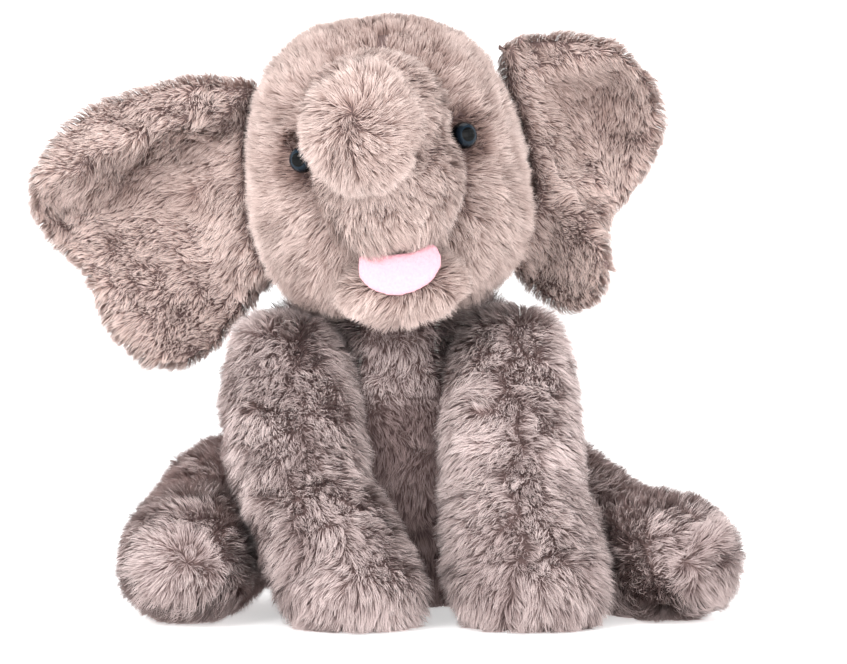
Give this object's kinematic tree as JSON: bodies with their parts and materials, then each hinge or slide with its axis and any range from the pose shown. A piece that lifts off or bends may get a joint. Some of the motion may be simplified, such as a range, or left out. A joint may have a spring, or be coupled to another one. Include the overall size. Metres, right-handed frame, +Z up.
{
  "type": "plush elephant",
  "caption": "Sitting plush elephant with long soft grey-brown fur, big cupped ears, a raised trunk, a small pink tongue and floppy stuffed legs.",
  "frame": {"origin": "on the floor, under the middle of the toy's box", "axes": "+Z up; -Y is the way that the toy faces; -X is the toy's own right side"},
  "size_m": [0.3162, 0.2516, 0.2687],
  "materials": {
    "face_fur": "long brushed pile fur, warm light grey-brown",
    "body_fur": "long brushed pile fur, cooler grey-brown",
    "tongue_plush": "short pink minky pile",
    "eye": "glossy dark blue-grey safety eye with a black pupil",
    "washer": "moulded black nylon",
    "fill": "white polyester fibre",
    "label_cloth": "plain woven satin tape, blank"
  },
  "bodies": {
    "torso": {"torso_right_panel": "body_fur", "torso_left_panel": "body_fur", "torso_belly_panel": "body_fur", "torso_back_panel": "body_fur", "torso_stuffing": "fill", "pellet_bag": "fill", "care_label": "label_cloth"},
    "head": {"head_right_panel": "face_fur", "head_left_panel": "face_fur", "head_crown_gusset": "face_fur", "head_stuffing": "fill", "right_eye": "eye", "left_eye": "eye", "right_eye_washer": "washer", "left_eye_washer": "washer", "lower_lip": "face_fur", "tongue": "tongue_plush"},
    "trunk": {"trunk_right_panel": "face_fur", "trunk_left_panel": "face_fur", "trunk_end_panel": "face_fur", "trunk_stuffing": "fill"},
    "right_ear": {"right_ear_front": "face_fur", "right_ear_back": "face_fur"},
    "left_ear": {"left_ear_front": "face_fur", "left_ear_back": "face_fur"},
    "tail": {"tail": "body_fur", "tail_tuft": "body_fur"},
    "right_foreleg": {"right_foreleg_outer_panel": "body_fur", "right_foreleg_inner_panel": "body_fur", "right_foreleg_sole": "body_fur", "right_foreleg_stuffing": "fill"},
    "right_hindleg": {"right_hindleg_outer_panel": "body_fur", "right_hindleg_inner_panel": "body_fur", "right_hindleg_sole": "body_fur", "right_hindleg_stuffing": "fill"},
    "left_foreleg": {"left_foreleg_outer_panel": "body_fur", "left_foreleg_inner_panel": "body_fur", "left_foreleg_sole": "body_fur", "left_foreleg_stuffing": "fill"},
    "left_hindleg": {"left_hindleg_outer_panel": "body_fur", "left_hindleg_inner_panel": "body_fur", "left_hindleg_sole": "body_fur", "left_hindleg_stuffing": "fill"}
  },
  "joints": [
    {"name": "head_turn", "type": "hinge", "parent": "torso", "child": "head", "pos_m": [0.00469, 0.02072, 0.146], "axis": [0, 0, 1], "range_deg": [-12, 12]},
    {"name": "trunk_droop", "type": "hinge", "parent": "head", "child": "trunk", "pos_m": [0.00425, -0.06358, 0.19594], "axis": [0.9866, -0.069, 0.1478], "range_deg": [0, 18]},
    {"name": "right_ear_flap", "type": "hinge", "parent": "head", "child": "right_ear", "pos_m": [-0.06231, 0.02172, 0.191], "axis": [0, 0, 1], "range_deg": [-10, 16]},
    {"name": "left_ear_flap", "type": "hinge", "parent": "head", "child": "left_ear", "pos_m": [0.06669, 0.02072, 0.199], "axis": [0, 0, -1], "range_deg": [-10, 16]},
    {"name": "right_shoulder", "type": "hinge", "parent": "torso", "child": "right_foreleg", "pos_m": [-0.04331, -0.00928, 0.119], "axis": [-1, 0, 0], "range_deg": [0, 30]},
    {"name": "left_shoulder", "type": "hinge", "parent": "torso", "child": "left_foreleg", "pos_m": [0.05869, -0.00928, 0.122], "axis": [-1, 0, 0], "range_deg": [0, 30]},
    {"name": "right_hip", "type": "hinge", "parent": "torso", "child": "right_hindleg", "pos_m": [-0.06131, 0.03272, 0.044], "axis": [-0.8, 0, -0.6], "range_deg": [0, 18]},
    {"name": "left_hip", "type": "hinge", "parent": "torso", "child": "left_hindleg", "pos_m": [0.07069, 0.03272, 0.044], "axis": [-0.8, 0, 0.6], "range_deg": [0, 18]},
    {"name": "tail_wag", "type": "hinge", "parent": "torso", "child": "tail", "pos_m": [0.00469, 0.10072, 0.046], "axis": [0, 0, 1], "range_deg": [-20, 20]}
  ]
}
